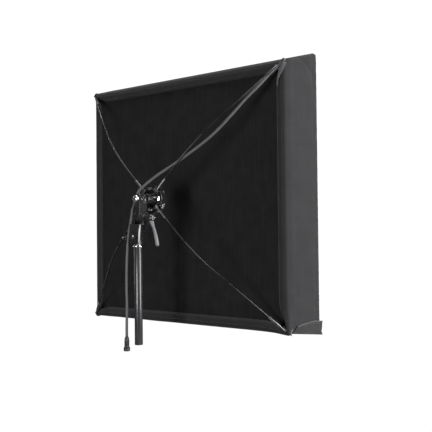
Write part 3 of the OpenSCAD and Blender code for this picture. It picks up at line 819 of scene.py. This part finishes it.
def add_seams():
    """Stitch rows on the flange and the front hem, and the piping on the flange's inner edge."""
    highlit_piping = closed_tube("flange_piping", [Vector(p) + 0.1 * MM * BACKWARD for p in cover[4]], 0.85 * MM)
    # Its lighter cloth is partly a painted highlight along the flange's inner edge.
    place(highlit_piping, "head", "box_cloth", shade="highlit_piping")
    lines = [[Vector(p) + 1.05 * MM * BACKWARD for p in cover[k]] for k in (5, 9)]
    seams = [stitch_row(line, STITCH, STITCH_GAP) for line in lines]
    back = stitches_object("flange_stitches", seams, THREAD_RADIUS, lambda p: BACKWARD, 0.5 * MM)
    place(back, "head", "box_cloth", shade="thread")

    def outward(p):
        return Vector((p.x, 0, p.z - FRONT_MID)).normalized()

    wall = [Vector(p) + outward(Vector(p)) * 1.1 * MM for p in cover[len(BACK_PROFILE) + WALL_ROWS - 3]]
    seams = [stitch_row(wall, STITCH, STITCH_GAP)]
    front = stitches_object("hem_stitches", seams, THREAD_RADIUS, outward, 0.5 * MM)
    place(front, "head", "box_cloth", shade="thread")


add_seams()


# ---------- The panel and what is in the box ----------
def round_corner(x, z, half, radius):
    """Moves a point of a square grid so that the square's corner is an arc."""
    dx, dz = abs(x) - half + radius, abs(z) - half + radius
    if dx <= 0 or dz <= 0:
        return x, z
    scale = max(dx, dz) / math.hypot(dx, dz)
    return math.copysign(half - radius + dx * scale, x), math.copysign(half - radius + dz * scale, z)


def plate_rows(half, mid, radius, steps, height):
    """Rows of a square sheet in the XZ plane. height(x, z) gives y, with x and z measured from the middle."""
    rows, flat = [], []
    for i in range(steps + 1):
        z0 = half * math.sin(math.pi * (i / steps - 0.5))
        rows.append([])
        flat.append([])
        for j in range(steps + 1):
            x0 = half * math.sin(math.pi * (j / steps - 0.5))
            x, z = round_corner(x0, z0, half, radius)
            rows[-1].append((x, height(x, z), mid + z))
            flat[-1].append((x, z))
    return rows, flat


def panel_depth(x, z):
    """The panel's back: slack cloth gathered under the top flange, drawn towards its corners."""
    seen = BACK_HALF - FLANGE_W
    below_top = seen - z
    above_low = z + seen
    inside = smooth_step((PANEL_HALF - max(abs(x), abs(z))) / (26 * MM))
    gathers = ripple(x, 0, 0, 19 * MM, 5.5) + 0.6 * ripple(x, 0, z * 0.25, 9 * MM, 2.5)
    gather = gathers * 1.5 * MM * math.exp(-max(0, below_top) / (26 * MM))
    low_gather = ripple(x, 0, 0, 26 * MM, 9.5) * 0.9 * MM * math.exp(-max(0, above_low) / (30 * MM))
    slack = ripple(x, 0, z, 150 * MM, 4.2) * 2.6 * MM + ripple(x, 0, z * 0.45, 55 * MM, 8.1) * 0.9 * MM
    pleat = 0.0
    for cx, cz, lean in ((1, 1, 0.1), (-1, 1, -0.12), (1, -1, -0.1), (-1, -1, 0.06)):
        along = ((cx * x) + (cz * z)) / math.sqrt(2)
        across = (cx * x - cz * z) / math.sqrt(2) - lean * (seen * math.sqrt(2) - along)
        reach = smooth_step((along - 0.42 * seen) / (0.75 * seen))
        pleat += reach * (bell(across, 9 * MM) - 0.6 * bell(across - 20 * MM, 12 * MM)) * 2.2 * MM
    relief = max(-0.8 * MM, min(4.5 * MM, slack + gather + low_gather + pleat))
    return PANEL_Y + 0.2 * MM + inside * relief


def add_panel():
    rows, flat = plate_rows(PANEL_HALF, BACK_MID, 5 * MM, 150, panel_depth)
    panel = grid_object("panel_back", rows, flat)
    thicken(panel, 1.0 * MM, -1.0)
    place(panel, "head", "panel_cloth", "panel_cloth")


def add_led_mat():
    """The flexible circuit under the panel's cloth, and its rows of emitters."""
    half = mat_high.x
    rows, flat = plate_rows(half, BACK_MID, 4 * MM, 40, lambda x, z: mat_low.y + 0.2 * MM)
    board = thicken(grid_object("led_mat_board", rows, flat), 0.8 * MM, 0.0)
    place(board, "head", "led_board", "led_mat")
    count = 28
    pitch = 2 * (half - 14 * MM) / (count - 1)
    offsets = [(k - (count - 1) / 2) * pitch for k in range(count)]
    # Half width, half height and depth of a chip's foot, shoulder and face
    levels = ((1.75, 1.4, mat_low.y), (1.75, 1.4, EMITTER_Y + 0.25 * MM), (1.45, 1.1, EMITTER_Y))
    points, faces = [], []
    for cx in offsets:
        for cz in offsets:
            start = len(points)
            for w, h, y in levels:
                for sx, sz in ((-1, -1), (1, -1), (1, 1), (-1, 1)):
                    points.append((cx + sx * w * MM, y, BACK_MID + cz + sz * h * MM))
            for level in (start, start + 4):
                for k in range(4):
                    m = (k + 1) % 4
                    faces.append((level + k, level + m, level + 4 + m, level + 4 + k))
            faces.append((start + 8, start + 9, start + 10, start + 11))
            faces.append((start + 3, start + 2, start + 1, start))
    emitters = mesh_object("led_chips", points, faces, [[(0, 0)] * 4 for f in faces], smooth=False)
    place(emitters, "head", "led_yellow", "led_emitters")


LINING_INSET = 4.3 * MM
LINING_RADIUS = 10 * MM


def lining_row(y, share):
    """A row of the lining at a depth, puckered away from its two edges."""
    half, mid, deep = section(y)

    def spot(x, z, out):
        wave = 0.9 * MM * ripple(x, y, z, 22 * MM, 6.2) + 0.5 * MM * ripple(x, y, z, 9 * MM, 1.2)
        off = (-0.6 * MM + wave) * math.sin(math.pi * share) ** 0.5 if 0 < share < 1 else 0
        return x + out[0] * off, y, z + out[1] * off

    return column_row(half - LINING_INSET, mid, LINING_RADIUS, spot)


def add_lining():
    """Reflective lining round the inside of the walls."""
    low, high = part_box("wall_linings")
    steps = 16
    rows = [lining_row(high.y + (low.y - high.y) * k / steps, k / steps) for k in range(steps + 1)]
    flat, size = flat_places(rows, column_lengths(BACK_HALF - LINING_INSET, LINING_RADIUS))
    lining = thicken(grid_object("silver_lining", rows, flat, closed=True), 0.4 * MM, -1.0)
    place(lining, "head", "silver_lining", "wall_linings")


TAPE_W = 14 * MM


def add_tape(name, node, body):
    """A band of touch tape round the front, with slightly uneven edges."""
    low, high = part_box(node)
    half, mid = high.x, (low.z + high.z) / 2
    rows = []
    for share in (0.0, 0.12, 0.5, 0.88, 1.0):
        inset = TAPE_W * share
        swell = 0.12 * MM * math.sin(math.pi * share)

        def spot(x, z, out):
            edge = ripple(x, 0, z, 14 * MM, 2.2) * 0.35 * MM if share in (0.0, 1.0) else 0
            return x + out[0] * edge, (low.y + high.y) / 2 - swell, z + out[1] * edge

        rows.append(column_row(half - inset, mid, max(LEAST_RADIUS, 10 * MM - inset * 0.5), spot))
    flat, size = flat_places(rows, column_lengths(half, 8 * MM))
    band = thicken(grid_object(name, rows, flat, closed=True), high.y - low.y - 0.1 * MM, 0.0)
    place(band, body, "touch_tape", node)


def diffuser_depth(x, z):
    """The front cloth stands out a little in the middle and is drawn tight at its edges."""
    half = diffuser_high.x
    u, v = x / half, z / half
    crown = (1 - u * u) * (1 - v * v)
    inside = smooth_step((half - max(abs(x), abs(z))) / (30 * MM))
    pull = ripple(x, 0, z, 60 * MM, 3.3) * 0.7 * MM * (1 - crown) * inside
    return diffuser_low.y + 0.2 * MM - 3.6 * MM * crown ** 0.8 + pull


def add_diffuser():
    half = diffuser_high.x
    mid = (diffuser_low.z + diffuser_high.z) / 2
    rows, flat = plate_rows(half, mid, 6 * MM, 90, diffuser_depth)
    cloth = thicken(grid_object("front_cloth", rows, flat), 0.5 * MM, 0.0)
    place(cloth, "diffuser", "white_cloth", "diffuser")
    seams = []
    for inset in (5 * MM, 13 * MM):
        path = column_row(half - inset, 0, max(LEAST_RADIUS, 6 * MM - inset * 0.3),
                          lambda x, z, out: (x, diffuser_depth(x, z) - 0.3 * MM, z + mid))
        seams.append(stitch_row(path, 2.6 * MM, 0.8 * MM))
    seam = stitches_object("front_cloth_stitches", seams, 0.25 * MM, lambda p: -BACKWARD, 0.4 * MM)
    place(seam, "diffuser", "white_cloth", shade="white_thread")


def add_boards():
    """The four stiffening boards in the walls' hems, cut short of the corners."""
    low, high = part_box("wall_boards")
    points, faces = [], []
    short = 11 * MM
    thickness = 1.2 * MM
    inset = section(low.y)[0] - high.x
    for nx, nz in SIDES:
        start = len(points)
        for y in (high.y, low.y):
            half, mid, deep = section(y)
            run = half - short
            for off in (half - inset, half - inset - thickness):
                for way in (-1, 1):
                    points.append((nx * off - nz * run * way, y, mid + nz * off + nx * run * way))
        for face in ((0, 1, 3, 2), (4, 6, 7, 5), (0, 4, 5, 1), (2, 3, 7, 6), (0, 2, 6, 4), (1, 5, 7, 3)):
            faces.append(tuple(start + k for k in face))
    flat = [(0, 0), (0.6, 0), (0.6, 0.1), (0, 0.1)]
    boards = mesh_object("stiffening_boards", points, faces, [flat for f in faces], smooth=False)
    place(boards, "head", "board", "wall_boards")


add_boards()
add_panel()
add_led_mat()
add_lining()
add_tape("hem_tape", "front_tape", "head")
add_tape("diffuser_border", "diffuser_tape", "diffuser")
add_diffuser()


# ---------- Corners ----------
def patch(name, edge_a, edge_b, steps, crown):
    """A cloth patch between two curves, each given by a few points, crowned between them along +Y."""

    def along(points, t):
        s = t * (len(points) - 1)
        i = min(int(s), len(points) - 2)
        return Vector(points[i]).lerp(Vector(points[i + 1]), s - i) * MM

    rows, flat = [], []
    for i in range(steps + 1):
        t = i / steps
        a, b = along(edge_a, t), along(edge_b, t)
        rows.append([])
        flat.append([])
        for j in range(steps // 2 + 1):
            s = j / (steps // 2)
            lift = crown(t, s) * MM
            rows[-1].append(a.lerp(b, s) + Vector((0, lift, 0)))
            flat[-1].append((s * (b - a).length, t * 45 * MM))
    return grid_object(name, rows, flat)


def add_corner_strap():
    """Elastic gusset at the upper right corner, from the fold down to the flange's inner edge."""
    left = [(-304, -150.5, 645), (-298.5, -150.8, 631.6), (-294, -151.6, 618.7), (-291.1, -152.8, 607.9),
            (-289.6, -154.3, 592)]
    right = [(-315, -153, 642), (-309.9, -151.6, 627.7), (-300.2, -152, 615.6), (-294.8, -152.8, 607.3),
             (-291.8, -154.3, 591.8)]
    strap = patch("corner_strap", left, right, 24, lambda t, s: 1.8 * math.sin(math.pi * s) * (1 - t) + 0.2)
    thicken(strap, 0.8 * MM, 0.0)
    place(strap, "head", "box_cloth", shade="strap")


def add_corner_tab():
    """Webbing tab on the panel's upper right corner."""
    line = [(-274.4, -156.5, 618.1), (-280.5, -155.4, 622), (-287, -154.2, 626.2), (-293.2, -153.2, 630.1)]
    left = [(x - 1.4, y, z + 1.4) for x, y, z in line]
    right = [(x + 1.4, y, z - 1.4) for x, y, z in line]
    tab = patch("corner_tab", left, right, 12, lambda t, s: 0.5 * math.sin(math.pi * s))
    thicken(tab, 1.0 * MM, 0.0)
    place(tab, "head", "box_cloth", shade="strap")


def add_corner_cap(name, sx, sz, size, bulge):
    """Moulded cap over the fold at one of the back corners, that the rod's tip presses against."""
    rings = []
    centre_x, centre_z = sx * (BACK_HALF - size), BACK_MID + sz * (BACK_HALF - size)
    steps = 14
    for i in range(steps + 1):
        turn = math.pi * (i / steps - 0.5)
        y = BACK_Y - 6 * MM + 7.5 * MM * math.sin(turn)
        reach = size * 0.55 + (size * 0.45 + bulge) * math.cos(turn) ** 0.7
        ring = []
        for k in range(24):
            a = 2 * math.pi * k / 24
            c, s = math.cos(a), math.sin(a)
            outer = max(0.0, (c * sx + s * sz) / math.sqrt(2))
            r = size * 0.5 + (reach - size * 0.5) * outer ** 1.5
            ring.append((centre_x + r * c + sx * size * 0.35, y, centre_z + r * s + sz * size * 0.35))
        rings.append(ring)
    cap = rings_object(name, rings)
    place(cap, "head", "black_plastic")


def add_lower_loop():
    """Elastic loop at the lower right corner, drawn over the fold beside the rod's tip."""
    left = [(-320.5, -154.5, 41.5), (-318.8, -153.2, 36.5), (-317.8, -153.5, 31), (-318.5, -155, 27)]
    right = [(-323, -156, 42), (-321.5, -154, 36.5), (-320.5, -154, 30.5), (-320, -156, 26.5)]
    loop = patch("lower_loop", left, right, 16, lambda t, s: 1.2 * math.sin(math.pi * s) + 0.2)
    thicken(loop, 0.8 * MM, 0.0)
    place(loop, "head", "box_cloth", shade="strap")


add_corner_strap()
add_corner_tab()
add_lower_loop()
for cap_name, cap_x, cap_z in (("corner_cap_upper_left", 1, 1), ("corner_cap_lower_left", 1, -1)):
    add_corner_cap(cap_name, cap_x, cap_z, 11 * MM, 2.2 * MM)


def add_flap():
    """Closing flap at the right wall's lower end: its top edge arched, its front corner turned out."""
    rows, flat = [], []
    steps_y, steps_z = 44, 22
    height = 36 * MM
    for i in range(steps_z + 1):
        v = i / steps_z
        rows.append([])
        flat.append([])
        for j in range(steps_y + 1):
            u = j / steps_y
            start = BACK_Y - (11 + 15 * v) * MM
            y = start + (flap_low.y - start) * u
            half, mid, deep = section(y)
            low = mid - half - 0.5 * MM
            arch = 0.88 - 0.41 * (1 - u) ** 1.9
            z = low + height * v * arch
            bulge = (2.6 * math.sin(math.pi * v) * math.sin(math.pi * (0.08 + 0.84 * u)) + 2.2 * v) * MM
            lip = 4.0 * MM * smooth_step((u - 0.72) / 0.28) * (1 - smooth_step(v / 0.28))
            loose = 1.6 * MM * smooth_step((u - 0.6) / 0.4) * v
            crease = 1.1 * MM * bell(v - 0.55 - 0.25 * math.sin(2.2 * u), 0.05) * math.sin(math.pi * u)
            x = -half - 1.0 * MM - bulge - lip - loose + crease + ripple(0, y, z, 17 * MM, 4.4) * 0.5 * MM
            rows[-1].append((x, y, z))
            flat[-1].append((u * (flap_high.y - flap_low.y), v * height))
    flap = thicken(grid_object("closing_flap", rows, flat), 1.1 * MM, 0.0)
    # The flap gets the darker copy of the box cloth: painted shade.
    place(flap, "flap", "box_cloth", "corner_flap", shade="flap_shaded_cloth")
    out = Vector((-1, 0, 0))
    hem = tube_object("flap_hem", [Vector(p) + 0.2 * MM * out for p in rows[-1]], 1.25 * MM, 10)
    # The hem takes the lighter piping cloth: partly a painted highlight along the flap's top edge.
    place(hem, "flap", "box_cloth", shade="highlit_piping")
    seam = [Vector(rows[-4][j]) + 0.75 * MM * out for j in range(1, steps_y)]
    spots = [[seam[j + shift] for j in range(0, steps_y - 4, 2)] for shift in (0, 1, 2)]
    thread = stitches_object("flap_stitches", [spots], THREAD_RADIUS, lambda p: out, 0.4 * MM)
    place(thread, "flap", "box_cloth", shade="thread")


add_flap()


# ---------- Hardware ----------
def dress(node, slot, width, angle=35):
    """Keeps a CAD node, with rounded edges and its slot's material."""
    obj = nodes[node]
    obj.data.materials.clear()
    obj.data.materials.append(SHADES[slot])
    rounded(obj, width * MM, angle)


def add_lever():
    """Smooth version of the locking lever: boss, end cap, and a straight handle that widens downwards."""
    low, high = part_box("tilt_lever")
    screw_low, screw_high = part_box("lever_screw")
    axis_y, axis_z = (screw_low.y + screw_high.y) / 2, (screw_low.z + screw_high.z) / 2
    length = (high.x - screw_low.x) / MM - 2.4
    boss = lathe_object("lever_boss", [
        (4.1, 0), (8.4, 0), (8.9, 0.5), (9.0, 5), (8.8, 12), (8.3, 17), (7.4, length - 3.4),
        (7.0, length - 3.0), (7.1, length - 2.4), (7.0, length - 0.8), (6.3, length), (0, length),
    ], (high.x, axis_y, axis_z), (-1, 0, 0), 48)
    path, radii = [], []
    steps = 30
    end_radius = 4.3 * MM
    for k in range(steps + 1):
        t = k / steps
        x = (-32 - 19 * t - 2 * math.sin(math.pi * t)) * MM
        z = axis_z - 4 * MM - (axis_z - low.z - 4 * MM - end_radius) * t
        path.append((x, axis_y, z))
        radii.append((5.6 - 2.0 * smooth_step(t * 3) + 0.7 * smooth_step(t * 1.4 - 0.3)) * MM)
    tip_x, tip_y, tip_z = path[-1]
    round_steps = 7
    for k in range(1, round_steps + 1):
        a = math.pi / 2 * k / round_steps
        path.append((tip_x - 1.2 * MM * math.sin(a), tip_y, tip_z - end_radius * math.sin(a)))
        radii.append(max(0.05 * MM, end_radius * math.cos(a)))
    handle = tube_object("lever_handle", path, radii, 28)
    place(boss, "lever", "black_casting", "tilt_lever")
    # The handle's lighter grey is partly a painted highlight on the black casting.
    place(handle, "lever", "black_casting", shade="highlit_satin_casting")


def add_knob():
    """Smooth version of the T-knob: a waisted stem and a bar with rounded, ribbed ends."""
    low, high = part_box("clamp_knob")
    screw_low, screw_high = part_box("clamp_screw")
    axis_z = (screw_low.z + screw_high.z) / 2
    stem = lathe_object("knob_stem", [
        (3.1, 0), (5.2, 0), (5.6, 0.6), (5.4, 3), (5.6, 6), (6.2, 8.6), (5.6, 9.6), (0, 9.8),
    ], (low.x, 0, axis_z), (1, 0, 0), 40)
    turn = math.radians(-6)
    across = Vector((1, 0, 0))
    along = Vector((0, math.cos(turn), math.sin(turn)))
    flatwise = along.cross(across)
    middle = Vector((low.x + 6.4 * MM, 0, axis_z))
    rings = []
    steps = 30
    for i in range(steps + 1):
        s = -1 + 2 * i / steps
        end = max(0.1, math.sqrt(max(0.0, 1 - abs(s) ** 6)))
        width = end * (4.1 - 0.8 * (1 - abs(s)) ** 2) * MM
        depth = end * (3.5 + 0.3 * math.cos(6 * math.pi * s)) * MM
        centre = middle + along * 12 * MM * s
        turns = [2 * math.pi * k / 20 for k in range(20)]
        rings.append([centre + across * width * math.cos(a) + flatwise * depth * math.sin(a) for a in turns])
    bar = rings_object("knob_bar", rings)
    knob = joined("t_knob", [stem, bar])
    place(knob, "knob", "black_plastic", "clamp_knob", shade="black_casting")


EDGES = {
    "stand_tube": ("stand_metal", 0.3), "tube_plug": ("black_plastic", 0.4), "tube_collar": ("chrome", 0.4),
    "spigot": ("steel", 0.3), "receiver_body": ("black_casting", 0.7), "socket_bush": ("brass", 0.2),
    "socket_screw": ("chrome", 0.15), "pivot_bolt": ("steel", 0.3), "friction_washers": ("steel", 0.1),
    "lever_screw": ("chrome", 0.2), "lever_spring": ("steel", 0.05), "clamp_screw": ("chrome", 0.2),
    "clamp_pad": ("brass", 0.2), "head_block": ("black_casting", 0.7), "block_screws": ("chrome", 0.1),
    "spindle": ("steel", 0.3), "spindle_cap": ("chrome", 0.3), "hub_neck": ("black_casting", 0.5),
    "hub_disc": ("black_casting", 0.5), "hub_cover": ("black_plastic", 0.5), "cover_screws": ("chrome", 0.15),
    "rod_brackets": ("black_casting", 0.3), "rod_clips": ("chrome", 0.25), "hinge_pins": ("steel", 0.2),
    "corner_pockets": ("black_plastic", 0.4),
}
for corner in ("upper_left", "upper_right", "lower_right", "lower_left"):
    EDGES["rod_" + corner] = ("rod_steel", 0.1)
    EDGES["sleeve_" + corner] = ("sleeve_metal", 0.2)
    EDGES["ferrule_" + corner] = ("sleeve_metal", 0.25)

for node_name, (slot_name, edge_width) in EDGES.items():
    dress(node_name, slot_name, edge_width, 50 if node_name.startswith("rod_") else 35)
add_lever()
add_knob()


# ---------- Light and floor ----------
def area_light(name, place_at, target, size, watts, tall=None):
    data = bpy.data.lights.new(name, "AREA")
    data.energy = watts
    data.size = size
    if tall:
        data.shape = "RECTANGLE"
        data.size_y = tall
    light = linked(name, data)
    light.location = place_at
    light.rotation_euler = (Vector(target) - Vector(place_at)).to_track_quat("-Z", "Y").to_euler()


def camera_only(tree, seen, lit):
    """A shader that the camera sees as one thing, while everything else is lit by another."""
    path = tree.nodes.new("ShaderNodeLightPath")
    mix = tree.nodes.new("ShaderNodeMixShader")
    tree.links.new(path.outputs["Is Camera Ray"], mix.inputs["Fac"])
    tree.links.new(lit, mix.inputs[1])
    tree.links.new(seen, mix.inputs[2])
    return mix.outputs[0]


SEEN_WHITE = 1.05
WORLD_GLOW = 0.12
FLOOR_WHITE = 1.02
FLOOR_REACH = 30
FLOOR_LEVEL = -1.15


def add_world():
    """White to look at, and a soft grey glow that lights the object."""
    world = bpy.data.worlds.new("studio")
    world.use_nodes = True
    tree = world.node_tree
    seen, lit = tree.nodes["Background"], tree.nodes.new("ShaderNodeBackground")
    seen.inputs["Color"].default_value = (1, 1, 1, 1)
    seen.inputs["Strength"].default_value = SEEN_WHITE
    lit.inputs["Color"].default_value = (1, 1, 1, 1)
    lit.inputs["Strength"].default_value = WORLD_GLOW
    surface = camera_only(tree, seen.outputs[0], lit.outputs[0])
    tree.links.new(surface, tree.nodes["World Output"].inputs["Surface"])
    bpy.context.scene.world = world


def add_floor():
    """A plain white floor below the object, far enough down for the stand's missing legs."""
    mesh = bpy.data.meshes.new("floor")
    corners = [(x * FLOOR_REACH, y * FLOOR_REACH, FLOOR_LEVEL) for x, y in ((-1, -1), (1, -1), (1, 1), (-1, 1))]
    mesh.from_pydata(corners, [], [(0, 1, 2, 3)])
    paint = Paint("floor_paint", (0.18, 0.18, 0.18), 0.9, specular=0.1)
    glow = paint.node("Emission")
    glow.inputs["Strength"].default_value = FLOOR_WHITE
    surface = camera_only(paint.tree, glow.outputs[0], paint.shader.outputs[0])
    paint.link(surface, paint.tree.nodes["Material Output"].inputs["Surface"])
    mesh.materials.append(paint.material)
    linked("floor", mesh)


def add_studio():
    """A tall soft light on the right, a key light behind, one above, and a fill from the front left."""
    view = bpy.context.scene.view_settings
    view.view_transform = "Standard"
    view.look = "None"
    middle = (0, -0.15, 0.34)
    area_light("side_light", (-2.4, -0.8, 0.7), middle, 2.0, 200, 2.4)
    area_light("key_light", (-0.1, 2.25, 0.1), middle, 0.6, 46, 0.9)
    area_light("top_light", (-0.1, 0.3, 2.7), middle, 1.4, 50)
    area_light("fill_light", (2.2, -1.7, 0.9), middle, 2.0, 45)
    add_world()
    add_floor()


add_studio()
